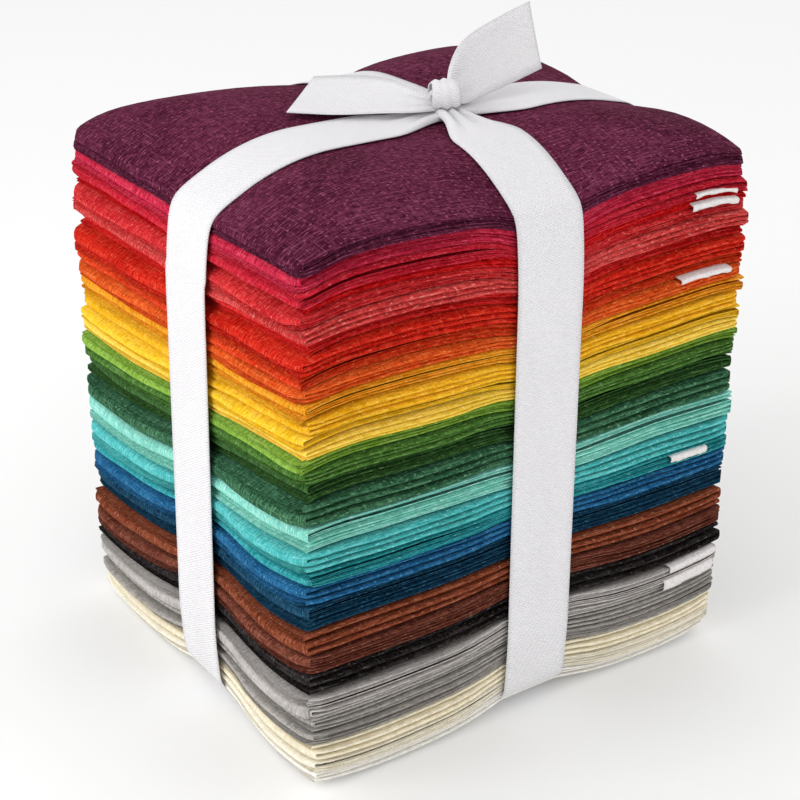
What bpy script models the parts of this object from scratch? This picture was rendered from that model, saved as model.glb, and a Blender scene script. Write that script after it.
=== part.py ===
"""A bundle of folded fat quarters, stacked and tied crosswise with a ribbon.

Every fat quarter is a quarter yard of cotton, folded in four one way and in thirds the other way.
Its solid is the back-and-forth section of the thirds, each pass standing for a packet of four layers.
The ribbon presses the stack down along two lines, so four soft lobes stand up between them and the
corners droop. Lengths are in millimetres until a mesh is written.
"""
import math

import bmesh
import bpy
from mathutils import Vector

MM = 0.001

# The folded stack, to the outermost fold of an even piece
HALF_WIDTH = 78.0
HALF_DEPTH = 68.5
CORNER_HEIGHT = 162.0
PASSES = 3
LAYER_GAP = 0.44
NOSE_SHARE = 0.9
NOSE_SLOPE = math.radians(38)
# How far the layers in the middle of the stack lie higher in front and lower at the back
MIDDLE_TILT = 8.0

# The lines on which the heights of the stack are given, the ribbon's among them
RIBBON_X = 4.0
RIBBON_Y = -7.0
LINES_X = (-HALF_WIDTH, -60.0, RIBBON_X, 64.0, HALF_WIDTH)
LINES_Y = (-HALF_DEPTH, -51.0, RIBBON_Y, 49.0, HALF_DEPTH)

# Height of the stack's top, one row for each line in y and one column for each line in x
TOP = (
    (167.5, 173.0, 167.5, 173.0, 167.0),
    (171.5, 178.5, 177.0, 178.5, 171.5),
    (168.0, 177.0, 180.0, 177.0, 168.0),
    (171.0, 178.5, 177.5, 178.5, 171.0),
    (167.0, 172.5, 168.0, 172.5, 167.0),
)
# Height of the stack's underside on the same lines, before the lobes are pressed flat on the table
UNDERSIDE = (
    (5.6, 1.9, 5.5, 1.9, 5.6),
    (1.9, -0.8, 3.5, -0.8, 1.9),
    (5.5, 3.5, 3.5, 3.5, 5.5),
    (1.9, -0.8, 3.5, -0.8, 1.9),
    (5.8, 1.9, 5.5, 1.9, 5.8),
)

# The ribbon, 25.4 mm wide
RIBBON_HALF = 12.7
RIBBON_HALF_AT_KNOT = 6.0
RIBBON_THICK = 1.0
RIBBON_OFF_CLOTH = 0.6
RIBBON_APART = 0.3
NARROWS_FROM = 24.0
NARROWS_TO = 8.0
RIBBON_INNER_X = 80.0
RIBBON_INNER_Y = 70.5
RIBBON_RIM = 2.4
RIBBON_FLAT_FROM = 17.0
TOP_INSET = 3.0
# Its way round the top and bottom rims: step inward, height off the cloth there, and the way it faces
RIBBON_TOP_RIM = ((0.6, -0.5, 0.6, 0.8), (0.0, -2.9, 1.0, 0.15))
RIBBON_BOTTOM_RIM = ((0.0, 6.0, 1.0, -0.1), (1.4, -1.4, 0.7, -0.7))
KNOT_SIZE = (19.0, 17.0, 11.0)
KNOT_RINGS = 3
KNOT_DIP = 0.7
KNOT_ROUNDED_OFF = 1.0
TAIL_THICK = 1.0
TAIL_LIFT = 1.2

# The pieces from the bottom up: name, share of the height, how far its ends stand out to the left,
# right, front and back of an even piece, side of the first fold (1 right, -1 left) and base colour
PIECES = (
    ("ecru", 9, -0.6, -0.8, -0.9, 0.2, 1, (0.86, 0.83, 0.74)),
    ("pale_cream", 10, 0.6, 0.9, 0.8, -0.6, 1, (0.86, 0.81, 0.66)),
    ("cream", 16, -0.2, -0.4, 0.1, 0.6, -1, (0.84, 0.77, 0.56)),
    ("pebble_grey", 10, 1.0, 0.2, 0.9, -0.4, 1, (0.40, 0.40, 0.40)),
    ("mid_grey", 12, -0.9, 0.7, -0.4, 0.8, 1, (0.26, 0.26, 0.27)),
    ("light_grey", 24, 0.8, -0.6, 0.6, -0.2, -1, (0.48, 0.48, 0.48)),
    ("charcoal", 21, -0.4, 0.9, -0.8, 0.4, 1, (0.035, 0.035, 0.038)),
    ("rust_brown", 17, 1.2, 0.3, 0.7, 0.9, 1, (0.22, 0.062, 0.025)),
    ("rust_orange", 22, 0.2, -0.9, -0.3, -0.5, -1, (0.33, 0.10, 0.035)),
    ("dark_teal", 25, -1.0, 0.6, -1.2, 0.5, 1, (0.015, 0.085, 0.16)),
    ("royal_blue", 18, 0.7, 0.9, 0.2, -0.7, 1, (0.01, 0.10, 0.33)),
    ("turquoise", 13, -0.7, -0.3, 0.8, 0.7, -1, (0.01, 0.32, 0.40)),
    ("aqua", 20, 0.9, 0.5, 0.4, -0.3, 1, (0.03, 0.47, 0.52)),
    ("mint", 26, -0.3, 0.8, -0.5, 0.9, 1, (0.16, 0.60, 0.50)),
    ("teal_green", 23, 1.0, -0.5, 0.9, -0.6, -1, (0.01, 0.27, 0.22)),
    ("forest_green", 20, -1.3, 0.4, -1.4, 0.3, 1, (0.03, 0.09, 0.03)),
    ("leaf_green", 12, 0.4, 1.0, 0.6, 0.6, 1, (0.10, 0.27, 0.04)),
    ("lime_green", 13, 0.7, -0.7, -0.2, -0.8, -1, (0.26, 0.46, 0.05)),
    ("pale_yellow", 11, -0.5, 0.5, 0.9, 0.8, 1, (0.86, 0.62, 0.10)),
    ("yellow", 12, 0.6, 0.9, -0.4, -0.4, 1, (0.88, 0.52, 0.03)),
    ("amber", 16, -0.9, -0.2, 0.7, 0.5, -1, (0.85, 0.36, 0.01)),
    ("gold", 17, -0.6, 0.7, 0.2, -0.5, 1, (0.83, 0.42, 0.03)),
    ("salmon", 13, 0.5, 0.2, 1.0, 0.9, 1, (0.78, 0.16, 0.05)),
    ("red_orange", 13, -0.4, -0.6, -0.6, -0.2, -1, (0.76, 0.10, 0.02)),
    ("orange_red", 18, 0.6, 0.8, 0.6, 0.6, 1, (0.66, 0.04, 0.02)),
    ("deep_red", 13, -2.6, -0.3, -1.3, -0.6, 1, (0.33, 0.008, 0.012)),
    ("coral", 15, -0.6, 0.9, 0.9, 0.8, -1, (0.70, 0.07, 0.06)),
    ("rose", 11, 1.0, 0.3, 0.3, -0.3, 1, (0.68, 0.06, 0.08)),
    ("bright_red", 10, -2.0, 0.7, -0.7, 0.4, 1, (0.60, 0.005, 0.01)),
    ("pink_red", 13, 0.3, -0.5, 0.8, 0.7, -1, (0.52, 0.02, 0.09)),
    ("raspberry", 14, 0.9, 0.9, -0.2, -0.5, 1, (0.40, 0.02, 0.09)),
    ("plum", 15, 1.2, 1.0, 1.0, 0.8, 1, (0.075, 0.012, 0.055)),
)
RIBBON_WHITE = (0.86, 0.86, 0.87)


def between(lines, at):
    """Index of the cell that a coordinate lies in, and its share of the way across, past the ends too."""
    cell = 0
    while cell < len(lines) - 2 and at > lines[cell + 1]:
        cell += 1
    return cell, (at - lines[cell]) / (lines[cell + 1] - lines[cell])


def on_lines(heights, x, y):
    """A height read from a table between its lines."""
    column, across = between(LINES_X, x)
    row, along = between(LINES_Y, y)
    near = heights[row][column] * (1 - across) + heights[row][column + 1] * across
    far = heights[row + 1][column] * (1 - across) + heights[row + 1][column + 1] * across
    return near * (1 - along) + far * along


def height(level, x, y):
    """Height in the stack of a level from 0, its underside, to 1, its top."""
    low = on_lines(UNDERSIDE, x, y)
    tilt = MIDDLE_TILT * math.sin(math.pi * min(1.0, max(0.0, level)) ** 0.7) * y / HALF_DEPTH
    return low + level * (on_lines(TOP, x, y) - low) - tilt


def material(name, colour, roughness):
    made = bpy.data.materials.new(name)
    made.use_nodes = True
    shader = made.node_tree.nodes["Principled BSDF"]
    shader.inputs["Base Color"].default_value = (*colour, 1.0)
    shader.inputs["Roughness"].default_value = roughness
    shader.inputs["Metallic"].default_value = 0.0
    return made


def place(name, mesh, made_of, home):
    """Puts a mesh in the bundle's collection as one named piece."""
    piece = bpy.data.objects.new(name, mesh)
    piece.data.materials.append(made_of)
    home.objects.link(piece)
    return piece


def to_mesh(name, shape):
    """Writes a shape in millimetres as a mesh in metres, with its faces outward."""
    bmesh.ops.scale(shape, vec=Vector((MM, MM, MM)), verts=shape.verts)
    bmesh.ops.recalc_face_normals(shape, faces=shape.faces)
    mesh = bpy.data.meshes.new(name)
    shape.to_mesh(mesh)
    shape.free()
    return mesh


def join_sections(shape, first, second):
    """Faces between two sections, each cell cut on the same diagonal in x and y."""
    count = len(first)
    for here in range(count):
        after = (here + 1) % count
        corners = (first[here], first[after], second[after], second[here])
        if first[after].co.x >= first[here].co.x:
            halves = ((0, 1, 2), (0, 2, 3))
        else:
            halves = ((0, 1, 3), (1, 2, 3))
        for half in halves:
            shape.faces.new([corners[i] for i in half])


def fold_nose(x, reach, low, high):
    """The outer points of a fold that turns from one level to another at x."""
    middle = (low + high) / 2
    spread = (high - low) / 2
    out = x + reach * math.cos(NOSE_SLOPE)
    off = spread * math.sin(NOSE_SLOPE)
    return [(out, middle - off), (out, middle + off)]


def folded_section(bottom, top, left, right, side):
    """The section of a piece folded in thirds, as points of x and level around it."""
    gap = LAYER_GAP / CORNER_HEIGHT
    pitch = (top - bottom) / PASSES
    low = [bottom + number * pitch for number in range(PASSES)]
    high = [level + pitch - gap for level in low]
    nose = pitch * CORNER_HEIGHT * NOSE_SHARE
    start, end = -HALF_WIDTH - left + nose, HALF_WIDTH + right - nose
    inner_lines = list(LINES_X[1:-1])
    if side < 0:
        start, end = end, start
        inner_lines.reverse()
        nose = -nose
    onward = [start, *inner_lines, end]
    backward = onward[::-1]
    points = [(x, low[0]) for x in onward]
    points += fold_nose(end, nose, low[0], high[1])
    points += [(x, high[1]) for x in backward]
    points += [(x, low[2]) for x in onward]
    points += [(x, high[2]) for x in backward]
    points += fold_nose(start, -nose, low[1], high[2])[::-1]
    points += [(x, low[1]) for x in onward]
    points += [(x, high[0]) for x in backward]
    return points


def end_faces(count):
    """Faces that close the end of a folded section whose passes have that many points on a side."""
    turns = range(count)
    first_low = list(turns)
    second_high = [count + 2 + number for number in turns]
    third_low = [2 * count + 2 + number for number in turns]
    third_high = [3 * count + 2 + number for number in turns]
    second_low = [4 * count + 4 + number for number in turns]
    first_high = [5 * count + 4 + number for number in turns]
    faces = []
    for low, high in ((first_low, first_high), (second_low, second_high), (third_low, third_high)):
        high = high[::-1]
        for here in range(count - 1):
            faces.append((low[here], low[here + 1], high[here + 1], high[here]))
    nose = count
    faces.append((first_low[-1], nose, nose + 1, second_high[0], second_low[-1], first_high[0]))
    nose = 4 * count + 2
    faces.append((third_high[-1], nose, nose + 1, second_low[0], second_high[-1], third_low[0]))
    return faces


def fat_quarter(name, section, front, back, made_of, home, rests):
    """One folded piece, its section run from front to back through the heights of the stack."""
    shape = bmesh.new()
    rows = []
    for y in (-HALF_DEPTH - front, *LINES_Y[1:-1], HALF_DEPTH + back):
        rows.append([shape.verts.new((x, y, height(level, x, y))) for x, level in section])
    for first, second in zip(rows, rows[1:]):
        join_sections(shape, first, second)
    for row in (rows[0], rows[-1]):
        for face in end_faces(len(LINES_X)):
            shape.faces.new([row[number] for number in face])
    if rests:
        flatten_underneath(shape)
    return place(name, to_mesh(name, shape), made_of, home)


def flatten_underneath(shape):
    """Presses flat what would reach below the table."""
    everything = list(shape.verts) + list(shape.edges) + list(shape.faces)
    cut = bmesh.ops.bisect_plane(
        shape, geom=everything, dist=1e-6, plane_co=(0, 0, 0), plane_no=(0, 0, -1), clear_outer=True
    )
    rim = [item for item in cut["geom_cut"] if isinstance(item, bmesh.types.BMEdge)]
    bmesh.ops.contextual_create(shape, geom=rim)


def ribbon_half(distance):
    """Half the ribbon's width at a distance from the knot along the top."""
    share = (distance - NARROWS_TO) / (NARROWS_FROM - NARROWS_TO)
    share = min(1.0, max(0.0, share))
    return RIBBON_HALF_AT_KNOT + share * (RIBBON_HALF - RIBBON_HALF_AT_KNOT)


def top_run(at_x, over):
    """The ribbon's way over the top: place along it, lift off the cloth and distance from the knot."""
    knot = RIBBON_X if at_x else RIBBON_Y
    lines = LINES_X if at_x else LINES_Y
    near = [knot + step for step in (-NARROWS_FROM, -NARROWS_TO, 0.0, NARROWS_TO, NARROWS_FROM)]
    run = []
    for place_along in (lines[0] + TOP_INSET, lines[1], *near, lines[3], lines[4] - TOP_INSET):
        distance = abs(place_along - knot)
        lift = RIBBON_OFF_CLOTH
        if over and distance <= NARROWS_TO:
            lift += RIBBON_THICK + RIBBON_APART
        run.append((place_along, lift, distance))
    return run


def ribbon_ring(name, at_x, over, below, made_of, home):
    """The ribbon once around the stack, as a closed band; at_x if it runs left to right."""
    reach = RIBBON_INNER_X if at_x else RIBBON_INNER_Y
    line = RIBBON_Y if at_x else RIBBON_X

    def cloth(level, along, across):
        return height(level, along, across) if at_x else height(level, across, along)

    sections = []
    for along, lift, distance in top_run(at_x, over):
        half = ribbon_half(distance)
        sides = [cloth(1.0, along, line + across) + lift for across in (-half, 0.0, half)]
        sections.append((along, sides, half, (0.0, 1.0)))
    down = []
    for way in (1, -1):
        edge = way * reach
        rim = cloth(1.0, edge - way * RIBBON_RIM, line) + RIBBON_OFF_CLOTH
        foot = cloth(0.0, edge - way * RIBBON_RIM, line)
        side = [(step, rim + off, out, up) for step, off, out, up in RIBBON_TOP_RIM]
        side += [(step, foot + off, out, up) for step, off, out, up in RIBBON_BOTTOM_RIM]
        side.append((RIBBON_FLAT_FROM, below + RIBBON_THICK, 0.0, -1.0))
        side = [(edge - way * step, [z] * 3, RIBBON_HALF, (way * out, up)) for step, z, out, up in side]
        down.append(side)
    loop = sections + down[0] + down[1][::-1]

    shape = bmesh.new()
    rows = []
    for along, sides, half, normal in loop:
        size = math.hypot(*normal)
        step = [RIBBON_THICK * part / size for part in normal]
        row = []
        for across, z in zip((-half, 0.0, half), sides):
            row.append((along, line + across, z))
        for across, z in zip((half, 0.0, -half), sides[::-1]):
            row.append((along + step[0], line + across, z + step[1]))
        rows.append([shape.verts.new((a, b, c) if at_x else (b, a, c)) for a, b, c in row])
    for first, second in zip(rows, rows[1:] + rows[:1]):
        join_sections(shape, first, second)
    return place(name, to_mesh(name, shape), made_of, home)


def ribbon_knot(name, centre, made_of, home):
    """The knot, a soft lump that a coarse cage rounds, with a dip on each side of its middle band."""
    shape = bmesh.new()
    bmesh.ops.create_cube(shape, size=1.0)
    bmesh.ops.scale(shape, vec=Vector(KNOT_SIZE), verts=shape.verts)
    lengthwise = [edge for edge in shape.edges if abs(edge.verts[0].co.x - edge.verts[1].co.x) > 1.0]
    bmesh.ops.subdivide_edges(shape, edges=lengthwise, cuts=KNOT_RINGS, use_grid_fill=True)
    for vert in shape.verts:
        ring = round((vert.co.x / KNOT_SIZE[0] + 0.5) * (KNOT_RINGS + 1))
        if ring in (1, KNOT_RINGS):
            vert.co.y *= KNOT_DIP
            vert.co.z *= KNOT_DIP
        vert.co += centre
    knot = place(name, to_mesh(name, shape), made_of, home)
    rounding = knot.modifiers.new("Rounding", "SUBSURF")
    rounding.levels = 2
    rounding.render_levels = 2
    return knot


def ribbon_tail(name, rows, made_of, home):
    """A loose end of the ribbon through rows of two side points, given its thickness by Solidify."""
    shape = bmesh.new()
    lines = []
    for left, right in rows:
        left, right = Vector(left), Vector(right)
        lines.append([shape.verts.new(left.lerp(right, share)) for share in (0.0, 0.5, 1.0)])
    for first, second in zip(lines, lines[1:]):
        for here in range(2):
            shape.faces.new((first[here], first[here + 1], second[here + 1], second[here]))
    tail = place(name, to_mesh(name, shape), made_of, home)
    thick = tail.modifiers.new("Thickness", "SOLIDIFY")
    thick.thickness = TAIL_THICK * MM
    thick.offset = 0.0
    return tail


def main():
    for old in list(bpy.data.objects):
        bpy.data.objects.remove(old)
    home = bpy.data.collections.new("Fat quarter bundle")
    bpy.context.scene.collection.children.link(home)

    whole = sum(row[1] for row in PIECES)
    done = 0
    for number, (colour_name, share, left, right, front, back, side, colour) in enumerate(PIECES, 1):
        bottom, top = done / whole, (done + share) / whole
        done += share
        name = f"fat_quarter_{number:02d}_{colour_name}"
        section = folded_section(bottom, top, left, right, side)
        cotton = material(f"cotton_{colour_name}", colour, 0.85)
        fat_quarter(name, section, front, back, cotton, home, rests=number == 1)

    ribbon = material("white_ribbon", RIBBON_WHITE, 0.55)
    ribbon_ring("ribbon_left_to_right", True, False, 0.0, ribbon, home)
    ribbon_ring("ribbon_front_to_back", False, True, RIBBON_THICK + RIBBON_APART, ribbon, home)

    crossing = height(1.0, RIBBON_X, RIBBON_Y) + RIBBON_OFF_CLOTH + 2 * RIBBON_THICK + 2 * RIBBON_APART
    knot_middle = Vector((RIBBON_X + 1.0, RIBBON_Y, crossing + KNOT_SIZE[2] / 2 - KNOT_ROUNDED_OFF))
    ribbon_knot("ribbon_knot", knot_middle, ribbon, home)

    low = crossing + TAIL_LIFT
    left_tail = (
        ((-4.2, -2.2, low + 2), (-1.8, 2.2, low + 3)),
        ((-14.0, -1.0, low + 3), (2.0, 14.5, low + 4)),
        ((-26.0, 5.0, low + 2), (-5.5, 23.5, low + 3)),
        ((-35.0, 11.0, low + 0.5), (-12.0, 33.0, low + 1)),
    )
    ribbon_tail("ribbon_tail_left", left_tail, ribbon, home)
    right_tail = (
        ((14.6, -7.5, low + 1), (14.6, -6.0, low + 8)),
        ((24.0, -7.5, low - 1), (23.0, -2.0, low + 16)),
        ((36.0, -6.5, low - 0.5), (35.0, -0.5, low + 19.5)),
        ((48.5, -5.5, low + 1), (47.5, 1.0, low + 22)),
    )
    ribbon_tail("ribbon_tail_right", right_tail, ribbon, home)


main()
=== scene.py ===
"""The looks of a bundle of folded fat quarters that a white ribbon ties crosswise.

Each fat quarter is one real sheet of cotton: folded in four along its 22 inches, and the packet of
four layers then folded back and forth in thirds along its 18 inches. All pieces lie in one shared
set of heights, pressed down by the ribbon and at the corners. Lengths are in millimetres until a
mesh is written.
"""
import math

import bpy
import numpy as np
from bpy.props import FloatProperty, FloatVectorProperty, PointerProperty
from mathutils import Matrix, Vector


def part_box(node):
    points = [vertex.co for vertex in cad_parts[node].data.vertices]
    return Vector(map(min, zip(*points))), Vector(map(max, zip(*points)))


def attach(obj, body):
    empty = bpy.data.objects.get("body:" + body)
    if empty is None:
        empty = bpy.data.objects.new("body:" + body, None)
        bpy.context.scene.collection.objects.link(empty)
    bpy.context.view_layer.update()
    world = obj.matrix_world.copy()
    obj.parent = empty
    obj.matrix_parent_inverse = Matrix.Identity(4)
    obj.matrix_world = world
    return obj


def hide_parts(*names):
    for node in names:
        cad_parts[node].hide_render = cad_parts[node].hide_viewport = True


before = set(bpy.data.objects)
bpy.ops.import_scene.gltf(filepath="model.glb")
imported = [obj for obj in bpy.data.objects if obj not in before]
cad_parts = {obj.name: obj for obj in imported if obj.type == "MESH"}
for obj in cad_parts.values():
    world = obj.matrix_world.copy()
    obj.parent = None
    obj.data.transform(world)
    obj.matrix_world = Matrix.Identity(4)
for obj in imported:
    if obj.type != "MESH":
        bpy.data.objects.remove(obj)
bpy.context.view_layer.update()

bl_info = {
    "name": "Fat quarter bundle",
    "version": (1, 0, 0),
    "blender": (4, 5, 0),
    "location": "3D View > Sidebar > Bundle",
    "description": "Folds a stack of fat quarters, ties it with a ribbon and sets it on a table",
    "category": "Object",
}

MM = 0.001

# The stack, to the outermost fold of an even piece, the height of its top, and how much higher its
# middle layers lie at the front than halfway back
HALF_WIDTH = 78.0
HALF_DEPTH = 68.5
TOP_LEVEL = 183.5
MIDDLE_TILT = 8.0

# How far in the top droops from the side and the end rims, and how deep at the left, at the right,
# further in a right corner, and at the front and the back
TOP_REACH_X = 40.0
TOP_REACH_Y = 36.0
LEFT_DROOP = 11.5
RIGHT_DROOP = 5.5
CORNER_DROOP = 3.5
END_DROOP = 7.0

# The same for the underside, which lifts at the ends, the sides and most at the corners
UNDER_REACH_X = 30.0
UNDER_REACH_Y = 26.0
END_LIFT = 0.6
SIDE_LIFT = 0.3
CORNER_LIFT = 2.4

# The groove that the ribbon presses in, above and below, and how much deeper it is at the rims
GROOVE = 2.0
GROOVE_AT_ENDS = 6.0
GROOVE_AT_SIDES = 2.0
UNDER_GROOVE = 1.8
UNDER_GROOVE_AT_ENDS = 2.7
UNDER_GROOVE_AT_SIDES = 3.2
GROOVE_HALF = 12.0
GROOVE_FADE = 12.0

# Slow waves that all layers share: size, turns along x, y and the height, and where each starts
WAVES = (
    (0.45, 0.062, 0.021, 4.0, 0.4),
    (0.40, -0.034, 0.055, 6.5, 1.9),
    (0.30, 0.105, -0.040, 9.0, 3.3),
    (0.26, 0.020, 0.110, 12.0, 5.1),
    (0.20, 0.150, 0.090, 15.0, 0.9),
)

# How much wider the middle of the stack is than its top, the shares of the height over which this
# fades to the top and to the foot, and the part of it that is left at the foot
MIDDLE_SWELL = 0.034
SWELL_FROM_TOP = 0.16
SWELL_FROM_FOOT = 0.14
SWELL_AT_FOOT = 0.35

# The ribbon: its two lines on the stack, half its width and the share of it that shows
RIBBON_X = 3.6
RIBBON_Y = -7.0
RIBBON_HALF = 12.7
RIBBON_SEEN = 0.93

# The knot, and how far from it the two lines start to lean to it
KNOT_X = 8.6
KNOT_Y = -10.6
LEAN_ALONG_X = 72.0
LEAN_ALONG_Y = 62.0

# How far the ribbon's left run strays on the top, to the front, and on its way down the left face,
# to the back, and the height from which it does
LEFT_LEAN = -2.4
LEFT_LEAN_DOWN = 6.0
LEAN_DOWN_FROM = 166.0

# How the ribbon lies: over the cloth on top, and higher near the rims; under the stack, for the run
# next to the cloth and the run outside it; over the table; out from the faces; how far below a rim
# and above a foot it goes round; and the height from which it counts as lying on top
RIBBON_OVER_TOP = 0.15
RIBBON_OVER_RIMS = 0.6
RIM_REACH = 9.0
INNER_RUN_UNDER = 0.6
OUTER_RUN_UNDER = 1.1
RIBBON_OVER_TABLE = 0.25
RIBBON_OFF_FACE = 0.45
ROUND_BELOW_RIM = 1.1
ROUND_ABOVE_FOOT = 2.5
RIBBON_TOP_FROM = 150.0

# Points round the ribbon's loop and cells across it, and how it gathers into the knot: from and
# over what distance, the share of its width left there, its pleats, and the lift of the run that
# lies over and the run that lies under
LOOP_POINTS = 300
RIBBON_CELLS = 10
GATHER_FROM = 4.0
GATHER_OVER = 22.0
GATHERED_SHARE = 0.38
PLEAT_HEIGHT = 1.1
LIFT_OVER = 2.2
LIFT_UNDER = 1.0

# A layer of cotton as it lies in the fold, the air between packets and the cloth's own thickness
LAYER = 0.43
PACKET_GAP = 0.5
COTTON_THICK = 0.28
LAYERS = 4
PASSES = 3

# How far passes slip, and where along the 18 inches, in widths, one pass's slip ends and the next
# one's begins
PASS_SLIP = 0.5
SLIP_KNEES = (0.0, 0.96, 1.06, 1.96, 2.06, 3.1)

# How much flatter folds get in the corners and from where, how far a fold stands out for its
# radius, and how round a turn is
CORNER_TAPER = 0.6
CORNER_REACH = 7.0
FOLD_OUT = 1.9
TURN_ROUND = 0.95

# How far the faces come out under the ribbon and how much further beside it, and what share of the
# rest is pressed back
Y_LIMIT = 67.9
Y_FREE = 3.3
X_LIMIT = 77.4
X_FREE = 2.9
PRESSED_BACK = 0.88

# Radius of a piece's upright corners, where their rounds start past the stack, and how full they are
CORNER_RADIUS = (7.5, 12.5)
CORNER_PAST_X = 2.4
CORNER_PAST_Y = 2.6
CORNER_PULL = 0.85

# The share of its height that a piece leaves free above and below itself
FREE_SHARE = 0.03

# Cells of the cloth's mesh along a panel and round a fold
PANEL_CELLS = 24
PASS_CELLS = 30
FOLD_CELLS = 5
TURN_CELLS = 7

# The pieces from the bottom up: name, share of the height, how far its ends stand out to the left,
# right, front and back, side of the first turn (1 right, -1 left), which fold shows in front
# (1 the doubled fold, -1 the cut edges), base colour, colour of the light threads
PIECES = (
    ("ecru", 9, -0.6, -0.4, -0.9, 0.2, 1, 1, (0.96, 0.93, 0.86), (0.99, 0.98, 0.95)),
    ("pale_cream", 10, 0.6, 0.45, 0.8, -0.6, 1, -1, (0.96, 0.9, 0.75), (0.99, 0.96, 0.88)),
    ("cream", 16, -0.2, -0.2, 0.1, 0.6, -1, 1, (0.93, 0.84, 0.63), (0.97, 0.93, 0.8)),
    ("pebble_grey", 10, 1.0, 0.1, 0.9, -0.4, 1, -1, (0.42, 0.39, 0.36), (0.58, 0.55, 0.52)),
    ("mid_grey", 12, -0.9, 0.35, -0.4, 0.8, 1, 1, (0.4, 0.375, 0.35), (0.55, 0.53, 0.51)),
    ("light_grey", 24, 0.8, -0.3, 0.6, -0.2, -1, -1, (0.51, 0.475, 0.45), (0.63, 0.61, 0.59)),
    ("charcoal", 21, -0.4, 0.45, -0.8, 0.4, 1, 1, (0.012, 0.008, 0.008), (0.1, 0.09, 0.09)),
    ("rust_brown", 17, 1.2, 0.15, 0.7, 0.9, 1, -1, (0.165, 0.04, 0.024), (0.36, 0.15, 0.1)),
    ("rust_orange", 22, 0.2, -0.45, -0.3, -0.5, -1, 1, (0.235, 0.05, 0.02), (0.45, 0.17, 0.1)),
    ("dark_teal", 25, -1.0, 0.3, -1.2, 0.5, 1, -1, (0.007, 0.042, 0.09), (0.04, 0.16, 0.26)),
    ("royal_blue", 18, 0.7, 0.45, 0.2, -0.7, 1, 1, (0.014, 0.115, 0.28), (0.08, 0.3, 0.5)),
    ("turquoise", 13, -0.7, -0.15, 0.8, 0.7, -1, -1, (0.018, 0.34, 0.37), (0.16, 0.58, 0.62)),
    ("aqua", 20, 0.9, 0.25, 0.4, -0.3, 1, 1, (0.065, 0.5, 0.49), (0.3, 0.74, 0.74)),
    ("mint", 26, -0.3, 0.4, -0.5, 0.9, 1, -1, (0.23, 0.7, 0.58), (0.55, 0.88, 0.8)),
    ("teal_green", 23, 1.0, -0.25, 0.9, -0.6, -1, 1, (0.028, 0.11, 0.052), (0.15, 0.36, 0.2)),
    ("forest_green", 20, -1.3, 0.2, -1.4, 0.3, 1, -1, (0.028, 0.092, 0.02), (0.13, 0.28, 0.09)),
    ("leaf_green", 12, 0.4, 0.5, 0.6, 0.6, 1, 1, (0.06, 0.17, 0.025), (0.22, 0.4, 0.12)),
    ("lime_green", 13, 0.7, -0.35, -0.2, -0.8, -1, -1, (0.21, 0.42, 0.035), (0.46, 0.64, 0.2)),
    ("pale_yellow", 11, -0.5, 0.25, 0.9, 0.8, 1, 1, (0.97, 0.65, 0.05), (1.0, 0.86, 0.3)),
    ("yellow", 12, 0.6, 0.45, -0.4, -0.4, 1, -1, (0.95, 0.58, 0.01), (0.99, 0.8, 0.18)),
    ("amber", 16, -0.9, -0.1, 0.7, 0.5, -1, 1, (0.93, 0.47, 0.007), (0.98, 0.7, 0.13)),
    ("gold", 17, -0.6, 0.35, 0.2, -0.5, 1, -1, (0.88, 0.33, 0.008), (0.95, 0.56, 0.1)),
    ("salmon", 13, 0.5, 0.1, 1.0, 0.9, 1, 1, (0.76, 0.08, 0.01), (0.9, 0.28, 0.07)),
    ("red_orange", 13, -0.4, -0.3, -0.6, -0.2, -1, -1, (0.7, 0.032, 0.007), (0.86, 0.18, 0.06)),
    ("orange_red", 18, 0.6, 0.4, 0.6, 0.6, 1, 1, (0.64, 0.012, 0.006), (0.8, 0.1, 0.05)),
    ("deep_red", 13, -2.6, -0.15, -1.3, -0.6, 1, -1, (0.72, 0.01, 0.01), (0.84, 0.1, 0.09)),
    ("coral", 15, -0.6, 0.45, 0.9, 0.8, -1, 1, (0.62, 0.034, 0.034), (0.84, 0.24, 0.21)),
    ("rose", 11, 1.0, 0.15, 0.3, -0.3, 1, -1, (0.66, 0.018, 0.024), (0.82, 0.14, 0.13)),
    ("bright_red", 10, -2.0, 0.35, -0.7, 0.4, 1, 1, (0.58, 0.002, 0.004), (0.75, 0.05, 0.05)),
    ("pink_red", 13, 0.3, -0.25, 0.8, 0.7, -1, -1, (0.56, 0.01, 0.028), (0.72, 0.08, 0.11)),
    ("raspberry", 14, 0.9, 0.45, -0.2, -0.5, 1, -1, (0.6, 0.016, 0.055), (0.72, 0.1, 0.16)),
    ("plum", 15, 1.2, 0.5, 1.0, 0.8, 1, -1, (0.086, 0.0095, 0.031), (0.31, 0.075, 0.15)),
)

# Bits of white selvedge on the front: piece, height in it, left and right end, how tall
SELVEDGES = (
    (30, 0.30, 55.5, 71.5, 1.1),
    (29, 0.30, 54.0, 72.0, 1.7),
    (23, 0.95, 51.0, 70.5, 1.5),
    (12, 0.55, 52.0, 66.5, 2.0),
    (6, 0.82, 55.0, 74.0, 2.2),
    (6, 0.25, 53.0, 73.5, 3.6),
)

# A bit of selvedge from where it is tucked in to its lower end: shares of its height down, and how
# far in; how far it stands out and curls to the front; and how much of its length is hidden
SELVEDGE_DOWN = (0.0, 0.0, 0.0, 0.12, 0.4, 0.7, 1.0)
SELVEDGE_INSIDE = (9.0, 4.0, 0.6, 0.1, 0.0, 0.15, 0.35)
SELVEDGE_OUT = 2.3
SELVEDGE_CURL = 0.4

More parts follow.
